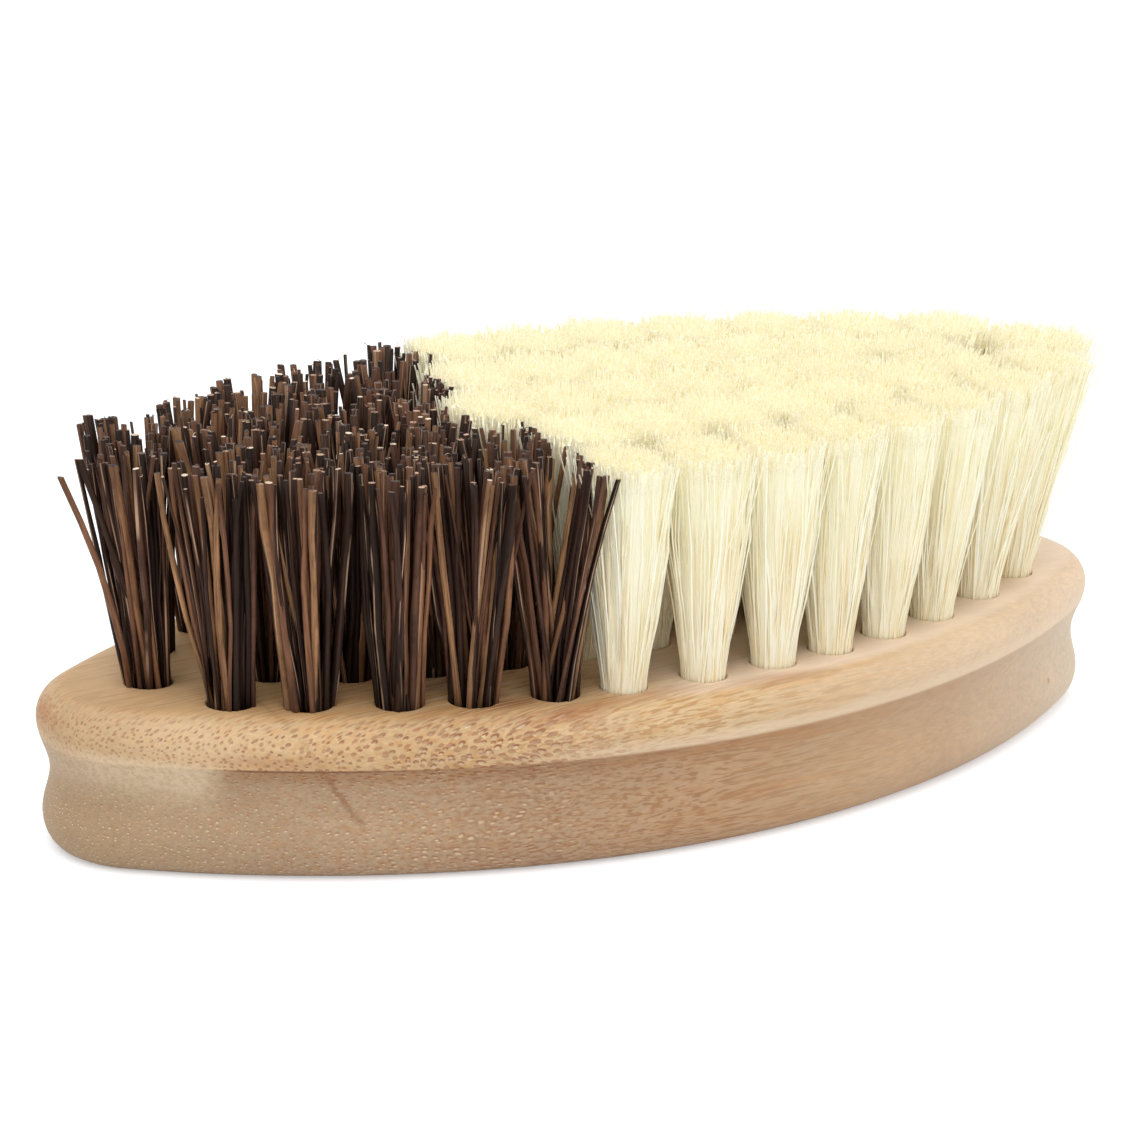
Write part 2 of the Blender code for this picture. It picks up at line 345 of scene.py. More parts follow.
bambooLook = {
    "fibreTurn": 7,             # degrees from +X towards +Y, read from where the streaks run longest
    "wander": 1.2,              # mm, how far the fibres stray from straight
    "halfLength": 65,           # mm, the ramps named Along and Tones run over twice this
    "rampHeight": 20,           # mm, the ramps named Up run over this
    "layerHeight": 6.15,        # mm, three glued layers
    "ridgeJoint": 12.3,         # mm, the glue line on the ridge
    "jointBlur": 0.15,          # mm
    "layerShift": 7.3,          # mm, the bundles stand elsewhere in each layer
    "bundlesPerMm": 2.4,        # across the fibres
    "bundleUp": (0.50, 0.62),   # mm between them upwards, in the flank and in the lip
    "flankShare": 0.85,         # number and size of the bundles in the flank against those in the lip
    "sheathShadeRim": (0.37, 0.25),  # in bundle spacings, where the sheath ends and where it is at its full tone
    "pitHighlightRim": (0.28, 0.14),
    "pitHighlightDrop": 0.15,           # mm, the pale core, a painted highlight, sits low in its brown sheath, whose upper edge shows as painted pit shade
    "sheathAndPitShade": "#80390F",
    "pitHighlight": "#F0DCB4",
    "warmTint": (0.88, 0.70, 0.52),
    "dashTint": (0.76, 0.61, 0.47),
    "dashScale": (0.24, 3.3, 4.2),      # per mm along the fibres, across them and upwards
    # scale, detail, darkest and lightest of the patterns that shade the ground
    "noises": {"mottle": ((0.04, 0.14, 0.2), 3, 0.93, 1.05), "lines": ((0.25, 5, 5), 2, 0.92, 1.05),
               "streaks": ((0.05, 1.3, 1.3), 2, 0.93, 1.05), "grain": ((0.7, 2.2, 1.7), 4, 0.92, 1.07)},
    # the bristle face is more golden at the palm end and pinker at the ivory end, where painted light also lifts
    # the shade between the ivory tufts
    "faceHeight": (17.0, 17.35),        # mm, where its tints start and are whole
    "goldTint": (1.05, 0.97, 0.86),
    "pinkLightTone": "#F8E6D6",
    "dullness": (0.48, 0.66),           # roughness, it follows the fibre lines
    # tones by share of the length, from the palm end to the ivory end. Their rise towards the ivory end is
    # painted light; the flank's darker tones are partly its greyer layers and partly painted shade
    "lipTones": [(0.0, "#C09F74"), (0.06, "#D2B188"), (0.1, "#D8B88E"), (0.15, "#D6B486"), (0.26, "#CEAA7C"),
                 (0.38, "#D6B68C"), (0.44, "#D9BA8E"), (0.5, "#D8BA8F"), (0.56, "#D6B78F"), (0.68, "#DCBF9B"),
                 (0.8, "#E2C6A4"), (1.0, "#EACEB0")],
    "flankTones": [(0.0, "#A58966"), (0.06, "#AC9170"), (0.15, "#B09475"), (0.22, "#B79A7A"), (0.32, "#B39474"),
                   (0.5, "#BC9873"), (0.62, "#C09E78"), (0.74, "#C3A280"), (0.9, "#D3BA9D"), (1.0, "#DFCBB0")],
    # strength of the brown sheaths, whose upper edges are painted pit shade, and of the pale cores, which are
    # painted highlights, and their size
    "sheathShadeAlong": [(0.0, 0.65), (0.08, 0.72), (0.15, 0.85), (0.24, 0.95), (0.33, 1.0), (0.37, 0.5), (0.42, 0.15),
                    (0.50, 0.0)],
    "sheathShadeUp": [(0.0, 0.70), (0.25, 0.45), (0.50, 0.40), (0.57, 0.9), (0.613, 0.95), (0.63, 0.90), (0.80, 1.0),
                 (0.87, 0.45)],
    "pitHighlightAlong": [(0.0, 1.0), (0.10, 0.95), (0.20, 0.8), (0.31, 1.0), (0.35, 0.6), (0.39, 0.2), (0.43, 0.0)],
    "lipPitHighlightAlong": [(0.0, 0.25), (0.13, 0.35), (0.20, 0.7), (0.28, 1.0)],
    "pitHighlightUp": [(0.0, 0.75), (0.30, 0.7), (0.50, 0.45), (0.57, 0.42), (0.62, 0.75)],
    "sizeAlong": [(0.0, 0.85), (0.15, 0.90), (0.20, 1.0), (0.27, 1.25), (0.34, 1.35), (1.0, 1.3)],
    "warmAlong": [(0.0, 0.3), (0.09, 0.5), (0.13, 0.9), (0.29, 1.0), (0.36, 0.7), (0.45, 0.9), (0.58, 0.8),
                  (0.70, 0.3), (1.0, 0.1)],
    "warmUp": [(0.50, 0.0), (0.56, 0.6), (0.613, 0.7), (0.625, 0.0)],
    "dashAlong": [(0.0, 0.20), (0.24, 0.35), (0.33, 0.85), (0.48, 1.0), (0.55, 0.6), (0.66, 0.2), (0.80, 0.05)],
    "pinkLightAlong": [(0.40, 0.0), (0.48, 0.7), (0.60, 0.7), (1.0, 0.45)],
    "goldAlong": [(0.0, 1.0), (0.33, 0.9), (0.45, 0.1), (1.0, 0.0)],
    # the open glue line
    "lineTone": "#6B3A1E",
    "lineForce": 0.85,
    "lineAlong": [(0.100, 0.0), (0.115, 1.0), (0.20, 0.9), (0.24, 0.5), (0.28, 0.1), (0.32, 0.0)],
    # a hair crack below it
    "crackTone": "#85502F",
    "crackForce": 0.62,
    "crackPlace": -34.2,        # mm, about where it would meet the flat back
    "crackSlant": 0.613,        # mm that it leans towards the palm end for each mm up
    "crackUp": [(0.26, 0.0), (0.34, 0.8), (0.56, 1.0), (0.61, 0.3)],
    # a smooth pale patch at the palm end, whose upper end comes down along the block
    "patchTone": "#DFC7A6",
    "patchForce": (0.48, 0.76),
    "patchSlope": 0.55,
    "patchAlong": [(0.0, 0.3), (0.02, 0.8), (0.086, 1.0), (0.096, 0.7), (0.109, 0.0)],
    "patchUp": [(0.38, 0.0), (0.46, 0.3), (0.54, 0.8), (0.60, 1.0), (0.66, 0.9), (0.70, 0.0)],
    # the pale ridge: worn wood and a painted highlight where the rounded edge catches the light
    "wornHighlightTone": "#EBD2B4",
    "wornHighlightForce": 0.55,
    "wornHighlightAlong": [(0.31, 0.0), (0.38, 0.7), (0.50, 1.0), (1.0, 0.8)],
    "wornHighlightUp": [(0.600, 0.0), (0.618, 1.0), (0.655, 0.9), (0.70, 0.0)],
    # brown marks, most on the bristle face and the top of the lip: place and reach in mm, and strength. A darker
    # smudge on the lower lip at the palm end, a stain at the palm nose, a small spot on the flank at the ivory
    # end, a stain on the face beside the middle palm tufts, and three streaks along the top of the lip that are
    # painted shade under the fronts of the middle palm tufts
    "stainAndShadeTone": "#A0602F",
    "stainsAndShade": [((-48.5, -18.0, 13.2), (9.0, 6.0, 1.3), 0.38), ((-64.3, 1.5, 15.3), (1.5, 5.0, 1.8), 0.52),
               ((53.2, -13.3, 5.4), (0.5, 0.5, 0.5), 0.8), ((-23.0, -22.6, 17.4), (6.0, 1.8, 2.0), 0.6),
               ((-9.0, -26.2, 17.2), (9.0, 1.5, 1.2), 0.45), ((7.0, -27.4, 17.2), (10.0, 1.3, 1.2), 0.42),
               ((-17.5, -26.6, 16.8), (8.0, 1.6, 1.4), 0.6)],
}


def makeBambooMaterial():
    # Laminated bamboo, machined and sanded bare: satin tan wood. Its cut fibre bundles are dots where the
    # edge crosses them and long streaks where it runs with them, each a red brown sheath whose upper edge is
    # painted pit shade, round a lowered pale core that is a painted highlight
    look = bambooLook
    material, tree, shader = newMaterial("sanded laminated bamboo")
    coords = addNode(tree, "TexCoord").outputs["Object"]
    inMm = addNode(tree, "Mapping", {"Vector": coords, "Scale": (1000, 1000, 1000)})
    x, y, z = addNode(tree, "SeparateXYZ", {0: inMm}).outputs
    half = look["halfLength"]
    share = addNode(tree, "MapRange", {"Value": x, "From Min": -half, "From Max": half})
    upShare = addNode(tree, "MapRange", {"Value": z, "From Max": look["rampHeight"]})
    front = addNode(tree, "Math", {0: y, 1: 0}, operation="LESS_THAN")
    sloped = addNode(tree, "Math", {0: share, 1: look["patchSlope"], 2: upShare}, operation="MULTIPLY_ADD")
    ramps = {}
    for name, stops in look.items():
        if name.endswith(("Along", "Up", "Tones")) and isinstance(stops, list):
            driver = sloped if name == "patchUp" else upShare if name.endswith("Up") else share
            ramps[name] = addNode(tree, "ValToRGB", {"Fac": driver}, stops)

    # the fibres run straight but wander a little
    place = addNode(tree, "Mapping", {"Vector": inMm, "Rotation": (0, 0, radians(-look["fibreTurn"]))})
    wanderAt = addNode(tree, "Mapping", {"Vector": place, "Scale": (0.05, 0.25, 0.25)})
    wander = addNode(tree, "TexNoise", {"Vector": wanderAt, "Scale": 1.0, "Detail": 1.0})
    wanderBy = addNode(tree, "VectorMath", {0: wander.outputs["Color"], 1: (0.5, 0.5, 0.5)}, operation="SUBTRACT")
    wanderMm = addNode(tree, "VectorMath", {0: wanderBy, "Scale": look["wander"]}, operation="SCALE")
    moved = addNode(tree, "VectorMath", {0: place, 1: wanderMm}, operation="ADD")
    _, across, up = addNode(tree, "SeparateXYZ", {0: moved}).outputs

    # bundles are endless along the fibres: a pattern of cells across them, shifted afresh in each layer
    layer = addNode(tree, "Math", {0: z, 1: look["layerHeight"]}, operation="DIVIDE")
    layerNumber = addNode(tree, "Math", {0: layer}, operation="FLOOR")
    flankUp, lipUp = look["bundleUp"]
    upwards = addNode(tree, "MapRange", {"Value": layerNumber, "From Min": 1, "From Max": 2,
                                         "To Min": 1 / flankUp, "To Max": 1 / lipUp})
    shifted = addNode(tree, "Math", {0: layerNumber, 1: look["layerShift"], 2: across}, operation="MULTIPLY_ADD")
    thinned = addNode(tree, "MapRange", {"Value": layerNumber, "From Min": 1, "From Max": 2,
                                         "To Min": look["flankShare"]})
    density = addNode(tree, "Math", {0: thinned, 1: look["bundlesPerMm"]}, operation="MULTIPLY")
    crosswise = addNode(tree, "Math", {0: shifted, 1: density}, operation="MULTIPLY")
    masks = []
    # each bundle's sheath, and its pale core set lower: painted pit shade above and a painted highlight below
    for drop, (outer, inner) in ((0, look["sheathShadeRim"]), (look["pitHighlightDrop"], look["pitHighlightRim"])):
        lowered = addNode(tree, "Math", {0: up, 1: drop}, operation="ADD")
        scaled = addNode(tree, "Math", {0: lowered, 1: upwards}, operation="MULTIPLY")
        section = addNode(tree, "CombineXYZ", {"X": crosswise, "Y": scaled})
        cells = addNode(tree, "TexVoronoi", {"Vector": section, "Scale": 1.0, "Randomness": 0.9},
                        voronoi_dimensions="2D")
        chance = addNode(tree, "SeparateColor", {0: cells.outputs["Color"]}).outputs
        size = addNode(tree, "MapRange", {"Value": chance[2], "To Min": 0.7, "To Max": 1.2})
        size = addNode(tree, "Math", {0: size, 1: ramps["sizeAlong"]}, operation="MULTIPLY")
        size = addNode(tree, "Math", {0: size, 1: thinned}, operation="MULTIPLY")
        reach = addNode(tree, "Math", {0: cells.outputs["Distance"], 1: size}, operation="DIVIDE")
        spot = addNode(tree, "MapRange", {"Value": reach, "From Min": outer, "From Max": inner},
                       interpolation_type="SMOOTHSTEP")
        masks.append((spot, chance))
    (sheathAndPitShade, sheathShadeChance), (pitHighlight, pitHighlightChance) = masks
    patch = addNode(tree, "Math", {0: ramps["patchAlong"], 1: ramps["patchUp"]}, operation="MULTIPLY")
    clear = addNode(tree, "MapRange", {"Value": patch, "To Min": 1.0, "To Max": 0.1})
    sheathShadeForce = addNode(tree, "MapRange", {"Value": sheathShadeChance[0], "To Min": 0.40, "To Max": 0.85})
    pitHighlightForce = addNode(tree, "MapRange", {"Value": pitHighlightChance[0], "From Min": 0.15, "To Max": 0.80})
    joint, blur = look["ridgeJoint"], look["jointBlur"]
    onLip = addNode(tree, "MapRange", {"Value": z, "From Min": joint - blur, "From Max": joint + blur})
    onLipHighlight = addNode(tree, "MapRange", {"Value": onLip, "To Min": 1.0, "To Max": ramps["lipPitHighlightAlong"]})
    for factor in (ramps["sheathShadeAlong"], ramps["sheathShadeUp"], clear, sheathAndPitShade):
        sheathShadeForce = addNode(tree, "Math", {0: sheathShadeForce, 1: factor}, operation="MULTIPLY")
    for factor in (ramps["pitHighlightAlong"], ramps["pitHighlightUp"], onLipHighlight, clear, pitHighlight):
        pitHighlightForce = addNode(tree, "Math", {0: pitHighlightForce, 1: factor}, operation="MULTIPLY")

    # ground colour: a tone for the lip and one for the flank, then mottling, fibre lines and soft streaks
    # the flank tone holds painted shade as well as its greyer layers, and both tones hold painted light towards
    # the ivory end
    tone = addNode(tree, "Mix", {0: onLip, 6: ramps["flankTones"], 7: ramps["lipTones"]}, data_type="RGBA")
    shade = None
    noises = {}
    for name, (scale, detail, low, high) in look["noises"].items():
        at = addNode(tree, "Mapping", {"Vector": place if name == "mottle" else moved, "Scale": scale})
        noise = addNode(tree, "TexNoise", {"Vector": at, "Scale": 1.0, "Detail": detail, "Roughness": 0.6})
        part = addNode(tree, "MapRange", {"Value": noise, "From Min": 0.25, "From Max": 0.75, "To Min": low,
                                          "To Max": high})
        shade = addNode(tree, "Math", {0: shade, 1: part}, operation="MULTIPLY") if shade else part
        noises[name] = noise
    lines, streaks, grain = noises["lines"], noises["streaks"], noises["grain"]
    ground = addNode(tree, "VectorMath", {0: tone, "Scale": shade}, operation="SCALE")
    warmStreak = addNode(tree, "MapRange", {"Value": streaks, "From Min": 0.46, "From Max": 0.66, "To Max": 0.7})
    warmth = addNode(tree, "Math", {0: warmStreak, 1: ramps["warmUp"]}, operation="ADD")
    warmth = addNode(tree, "Math", {0: warmth, 1: ramps["warmAlong"]}, operation="MULTIPLY")
    reddened = addNode(tree, "VectorMath", {0: ground, 1: look["warmTint"]}, operation="MULTIPLY")
    colour = addNode(tree, "Mix", {0: warmth, 6: ground, 7: reddened}, data_type="RGBA")
    dashAt = addNode(tree, "Mapping", {"Vector": moved, "Scale": look["dashScale"]})
    dashes = addNode(tree, "TexNoise", {"Vector": dashAt, "Scale": 1.0, "Detail": 1.0, "Roughness": 0.6})
    dash = addNode(tree, "MapRange", {"Value": dashes, "From Min": 0.51, "From Max": 0.59, "To Max": 0.95})
    dash = addNode(tree, "Math", {0: dash, 1: ramps["dashAlong"]}, operation="MULTIPLY")
    dashed = addNode(tree, "VectorMath", {0: ground, 1: look["dashTint"]}, operation="MULTIPLY")
    colour = addNode(tree, "Mix", {0: dash, 6: colour, 7: dashed}, data_type="RGBA")
    low, high = look["patchForce"]
    patchForce = addNode(tree, "MapRange", {"Value": grain, "From Min": 0.40, "From Max": 0.56, "To Min": low,
                                            "To Max": high})
    patchForce = addNode(tree, "Math", {0: patch, 1: patchForce}, operation="MULTIPLY")
    # the pale ridge, part wear and part painted highlight
    worn = addNode(tree, "Math", {0: ramps["wornHighlightAlong"], 1: ramps["wornHighlightUp"]}, operation="MULTIPLY")
    worn = addNode(tree, "Math", {0: worn, 1: look["wornHighlightForce"]}, operation="MULTIPLY")
    for force, name in ((patchForce, "patchTone"), (worn, "wornHighlightTone")):
        colour = addNode(tree, "Mix", {0: force, 6: colour, 7: hexColour(look[name])}, data_type="RGBA")
    low, high = look["faceHeight"]
    face = addNode(tree, "MapRange", {"Value": z, "From Min": low, "From Max": high, "To Max": 0.8})
    gold = addNode(tree, "Math", {0: face, 1: ramps["goldAlong"]}, operation="MULTIPLY")
    # painted light: the pink coat tints the face and lightens its shade between the ivory tufts
    pinkLight = addNode(tree, "Math", {0: face, 1: ramps["pinkLightAlong"]}, operation="MULTIPLY")
    golden = addNode(tree, "VectorMath", {0: colour, 1: look["goldTint"]}, operation="MULTIPLY")
    colour = addNode(tree, "Mix", {0: gold, 6: colour, 7: golden}, data_type="RGBA")
    coats = [(pinkLight, "pinkLightTone")]
    # each mark, stains and painted shade alike, with a ragged edge
    for markPlace, markSize, strength in look["stainsAndShade"]:
        fromMark = addNode(tree, "VectorMath", {0: inMm, 1: markPlace}, operation="SUBTRACT")
        fromMark = addNode(tree, "VectorMath", {0: fromMark, 1: markSize}, operation="DIVIDE")
        fromMark = addNode(tree, "VectorMath", {0: fromMark}, operation="LENGTH").outputs["Value"]
        ragged = addNode(tree, "Math", {0: streaks, 1: 1.4, 2: fromMark}, operation="MULTIPLY_ADD")
        mark = addNode(tree, "MapRange", {"Value": ragged, "From Min": 1.7, "From Max": 0.9, "To Max": strength})
        coats.append((mark, "stainAndShadeTone"))

    # the glue line and the crack
    aside = addNode(tree, "Math", {0: z, 1: joint}, operation="SUBTRACT")
    aside = addNode(tree, "Math", {0: aside}, operation="ABSOLUTE")
    line = addNode(tree, "MapRange", {"Value": aside, "From Min": 0.20, "From Max": 0.05,
                                      "To Max": look["lineForce"]})
    line = addNode(tree, "Math", {0: line, 1: ramps["lineAlong"]}, operation="MULTIPLY")
    slant = addNode(tree, "VectorMath", {0: inMm, 1: (1, 0, look["crackSlant"])}, operation="DOT_PRODUCT")
    slant = addNode(tree, "Math", {0: grain, 1: 1.8, 2: slant.outputs["Value"]}, operation="MULTIPLY_ADD")
    slant = addNode(tree, "Math", {0: slant, 1: -look["crackPlace"]}, operation="ADD")
    slant = addNode(tree, "Math", {0: slant}, operation="ABSOLUTE")
    crack = addNode(tree, "MapRange", {"Value": slant, "From Min": 0.50, "From Max": 0.05,
                                       "To Max": look["crackForce"]})
    crack = addNode(tree, "Math", {0: crack, 1: ramps["crackUp"]}, operation="MULTIPLY")
    crack = addNode(tree, "Math", {0: crack, 1: front}, operation="MULTIPLY")
    coats += [(sheathShadeForce, "sheathAndPitShade"), (pitHighlightForce, "pitHighlight"), (line, "lineTone"), (crack, "crackTone")]
    for force, name in coats:
        colour = addNode(tree, "Mix", {0: force, 6: colour, 7: hexColour(look[name])}, data_type="RGBA")
    tree.links.new(colour.outputs[2], shader.inputs["Base Color"])

    low, high = look["dullness"]
    rough = addNode(tree, "MapRange", {"Value": lines, "To Min": low, "To Max": high})
    tree.links.new(rough.outputs[0], shader.inputs["Roughness"])
    pits = addNode(tree, "Math", {0: sheathShadeForce, 1: -0.7}, operation="MULTIPLY")
    relief = addNode(tree, "Math", {0: lines, 1: 0.4, 2: pits}, operation="MULTIPLY_ADD")
    relief = addNode(tree, "Math", {0: line, 1: -1.5, 2: relief}, operation="MULTIPLY_ADD")
    bump = addNode(tree, "Bump", {"Height": relief, "Strength": 0.5, "Distance": 0.00005})
    tree.links.new(bump.outputs[0], shader.inputs["Normal"])
    return material


palmBristles = {
    "count": 42,
    "sides": 6,
    "levels": (0.0, 0.17, 0.34, 0.5, 0.67, 0.84, 1.0),
    "radius": (0.00022, 0.00052),
    "flatness": (0.5, 1.0),
    "flare": 1.0,
    "knots": 0.08,
    "tipWidth": 0.92,
    "rootRadius": 0.00246,
    "tipReach": (0.0038, 0.0043),
    "lobe": (0.0006, 0.0020),       # the folded bundle parts in two halves
    "lobeTurn": 0.6,
    "crossShare": 0.15,             # bristles that cross over to the far side
    "tipScatter": 0.0009,
    "bow": 0.00035,
    "kink": 0.00008,
    "dome": 0.0003,
    "trim": 0.0006,
    "strayShare": 0.04,
    "strayReach": (1.15, 1.4),
    "looseShare": 0.0,
    "looseReach": (1.0, 1.0),
    "looseDrop": 0.0,
    "tuck": 0.15,
    "tuckSteps": 14,
    "burrs": 26,                    # torn threads at the cut ends
    "rowReach": {},
    "rowShift": {},
}

# the one long bristle that stands away from the nose tuft
looseBristle = {
    "node": "palm_tuft_nose_01",
    "start": (-0.0555, -0.0006),
    "end": (-0.0640, -0.0035),
    "height": 0.0418,
    "radius": 0.00040,
    "fibre": 255,           # its number in the fibre map, which gives it a mid brown
}

burrShape = {
    "length": (0.0004, 0.0010),
    "radius": 0.000055,
    "lift": 0.35,
    "lean": 0.8,            # how far out a thread of unit length goes
    "curl": 0.8,            # share of a half turn that it bends through
    "taper": 1.1,
    "sink": 0.0001,         # it starts below the cut end
}

tampicoBristles = {
    "count": 1050,
    "sides": 3,
    "levels": (0.0, 0.22, 0.45, 0.7, 1.0),
    "radius": (0.00007, 0.00011),
    "flatness": (0.9, 1.0),
    "flare": 1.2,
    "knots": 0.0,
    "tipWidth": 1.0,
    "rootRadius": 0.00226,
    "tipReach": (0.0052, 0.0062),
    "lobe": (0.0, 0.0),
    "lobeTurn": 0.0,
    "crossShare": 0.05,
    "tipScatter": 0.0008,
    "bow": 0.00045,
    "kink": 0.00012,
    "dome": 0.0001,
    "trim": 0.0005,
    "strayShare": 0.08,
    "strayReach": (1.05, 1.3),
    "looseShare": 0.005,            # single fibres that lean across the gap to the next tuft
    "looseReach": (1.25, 1.55),
    "looseDrop": 0.010,
    "tuck": 0.0,
    "tuckSteps": 0,
    "burrs": 0,
    # the front row stands narrower and more upright than the rest, and the nose tuft leans further out
    "rowReach": {"front": (0.0043, 0.0056), "inner": (0.0054, 0.0072), "middle": (0.0054, 0.0070)},
    "rowShift": {"front": (-0.0011, 0.0), "nose": (0.0018, 0.0)},
}

# the packed middle of an ivory bundle, which the single fibres stand round and out of
bundleHeart = {
    "sides": 28,
    "levels": ((0.0, 1.0), (0.2, 1.0), (0.4, 1.0), (0.6, 1.0), (0.8, 1.0), (0.95, 1.0), (0.975, 0.97),
               (0.990, 0.92), (0.997, 0.84), (1.0, 0.70)),
    "rootShare": 0.96,
    "tipShare": 0.98,
    "belowTips": 0.0008,
    "stagger": 0.000006,        # each a little lower than the last, so that no two tops lie in one plane
    "drawnFibres": 50,          # fibres drawn side by side round its flank
}

tuftHeights = {
    "fold": 0.0110,         # the bristles start inside the hole
    "face": 0.0172,         # and fan out from here
    "crown": 0.035,         # a solid's points above this are its head
}

bristlePacking = {
    "turn": 0.15,           # radians off the even spiral in which a tuft's bristles stand
    "root": 0.00006,
    "strayDrop": 0.004,     # a stray tip is lower by this for each whole reach further out
    "kinkStart": 0.25,      # the kinks are whole from this share of the way up
}

# fibre map: u is a fibre's number and, past the point, the place round it, v the place along it, 1 on cut ends
fibreNumbers = {
    "perTuft": 1200,
    "burrs": 1100,          # the torn threads' numbers start here
    "side": 0.98,           # v at the top of a fibre's side
}


def drawUp(name, sides, steps):
    # an upright column: a unit circle drawn up in steps, each with its rise and change of width
    deselectAll()
    bpy.ops.mesh.primitive_circle_add(vertices=sides, radius=1, fill_type="NGON")
    column = bpy.context.object
    column.name = name
    bpy.ops.object.mode_set(mode="EDIT")
    bpy.ops.mesh.select_all(action="SELECT")
    for rise, widen in steps:
        bpy.ops.mesh.extrude_region_move(TRANSFORM_OT_translate={"value": (0, 0, rise)})
        bpy.ops.transform.resize(value=(widen, widen, 1))
    bpy.ops.mesh.select_all(action="SELECT")
    bpy.ops.mesh.normals_make_consistent(inside=False)
    bpy.ops.object.mode_set(mode="OBJECT")
    return column


def makeStrand(name, style):
    # one bristle of unit height that narrows towards its tip
    levels = style["levels"]
    rises = [high - low for low, high in zip(levels, levels[1:])]
    return drawUp(name, style["sides"], [(rise, 1 - (1 - style["tipWidth"]) * rise) for rise in rises])


def makeHeart():
    # a column of unit height with a rounded top
    levels = bundleHeart["levels"]
    steps = [(high - low, nextWidth / width) for (low, width), (high, nextWidth) in zip(levels, levels[1:])]
    return drawUp("tuftHeart", bundleHeart["sides"], steps)


def strandData(strand):
    # points, the points round each face, how many there are of them, and which faces are flat ends
    mesh = strand.data
    points = np.zeros(len(mesh.vertices) * 3)
    mesh.vertices.foreach_get("co", points)
    loops = np.zeros(len(mesh.loops), dtype=np.int64)
    mesh.loops.foreach_get("vertex_index", loops)
    sizes = np.array([face.loop_total for face in mesh.polygons])
    caps = np.array([abs(face.normal.z) > 0.9 for face in mesh.polygons])
    return points.reshape(-1, 3), loops, sizes, caps


def placeBristles(style, root, tip, tipReach, tall, chance):
    # where each bristle of one tuft starts and ends
    count = style["count"]
    order = np.arange(count)
    angle = order * pi * (3 - 5 ** 0.5) + chance.normal(0, bristlePacking["turn"], count)
    reach = np.sqrt((order + 0.5) / count)
    unit = np.stack([reach * np.cos(angle), reach * np.sin(angle)], axis=1)
    starts = root + unit * style["rootRadius"] + chance.normal(0, bristlePacking["root"], (count, 2))
    crossing = chance.random(count) < style["crossShare"]
    unit[crossing] = unit[crossing][::-1]
    stray = np.where(chance.random(count) < style["strayShare"], chance.uniform(*style["strayReach"], count), 1.0)
    spread = unit * tipReach * stray[:, None]
    lobeAngle = chance.normal(0, style["lobeTurn"])
    lobeWay = np.array([cos(lobeAngle), sin(lobeAngle)])
    side = np.sign(unit @ lobeWay)
    spread += side[:, None] * lobeWay * chance.uniform(*style["lobe"])
    ends = tip + spread + chance.normal(0, style["tipScatter"], (count, 2))
    height = tall - style["dome"] * reach ** 2 - np.abs(chance.normal(0, style["trim"], count))
    height -= (stray - 1) * bristlePacking["strayDrop"]
    loose = chance.random(count) < style["looseShare"]
    leaning = chance.uniform(*style["looseReach"], count)[loose]
    ends[loose] = tip + (ends[loose] - tip) * leaning[:, None]
    height[loose] -= (leaning - 1) * style["looseDrop"]
    return starts, ends, height


def besideNeighbours(style, ends, tip, neighbours):
    # bristle ends drawn back to their own tuft's middle until they are clear of the neighbouring heads
    for _ in range(style["tuckSteps"]):
        for centre, reach in neighbours:
            inside = np.linalg.norm((ends - centre) / reach, axis=1) < 1
            ends[inside] += (tip - ends[inside]) * style["tuck"]
    return ends


def headOf(style, node):
    # the middle and the half widths of one tuft's head
    points = nodePoints(node)
    row = node.split("_")[2]
    middle = points[points[:, 2] > tuftHeights["crown"], :2].mean(axis=0) + style["rowShift"].get(row, (0, 0))
    return middle, np.array(style["rowReach"].get(row, style["tipReach"]))


def fanOut(z, top):
    # 0 inside the hole, 1 at the tips
    return np.clip((z - tuftHeights["face"]) / (top - tuftHeights["face"]), 0, 1)


def heartMesh(style, heart, root, tip, tipReach, tall, number):
    # one tuft's packed middle: points, loops, face sizes, caps and its fibre map
    base, loops, sizes, caps = strandData(heart)
    top = tall - bundleHeart["belowTips"] - bundleHeart["stagger"] * number
    z = tuftHeights["fold"] + (top - tuftHeights["fold"]) * base[:, 2]
    fan = fanOut(z, top)[:, None] ** style["flare"]
    wide = style["rootRadius"] * bundleHeart["rootShare"] * (1 - fan)
    wide = wide + tipReach * bundleHeart["tipShare"] * fan
    xy = root + (tip - root) * fan + base[:, :2] * wide
    points = np.column_stack([xy, z])
    around = np.abs(np.arctan2(base[:, 1], base[:, 0])) / pi
    u = number * fibreNumbers["perTuft"] + around[loops] * bundleHeart["drawnFibres"]
    return points, loops, sizes, caps, np.stack([u, base[loops, 2] * fibreNumbers["side"]], axis=1)


def burrMesh(style, thread, ends, height, chance, number):
    # short torn threads that curl away from the cut ends
    base, loops, sizes, caps = strandData(thread)
    count = style["burrs"]
    owner = chance.integers(0, len(ends), count)
    way = chance.uniform(0, 2 * pi, count)
    long = chance.uniform(*burrShape["length"], count)
    z = base[None, :, 2]
    out = long[:, None] * z * burrShape["lean"]
    side = base[None, :, 0] * burrShape["radius"] * (burrShape["taper"] - z)
    up = height[owner][:, None] - burrShape["sink"]
    up = up + long[:, None] * burrShape["lift"] * np.sin(pi * burrShape["curl"] * z)
    up = up + base[None, :, 1] * burrShape["radius"] * (burrShape["taper"] - z)
    c, s = np.cos(way)[:, None], np.sin(way)[:, None]
    x = ends[owner, 0][:, None] + out * c - side * s
    y = ends[owner, 1][:, None] + out * s + side * c
    placed = np.stack([x, y, up], axis=2)
    numbers = np.arange(count) + 0.5 + number * fibreNumbers["perTuft"] + fibreNumbers["burrs"]
    u = np.repeat(numbers, len(loops))
    fibreMap = np.stack([u, np.ones(len(u))], axis=1)
    order = (loops[None, :] + np.arange(count)[:, None] * len(base)).reshape(-1)
    return placed.reshape(-1, 3), order, np.tile(sizes, count), np.tile(caps, count), fibreMap


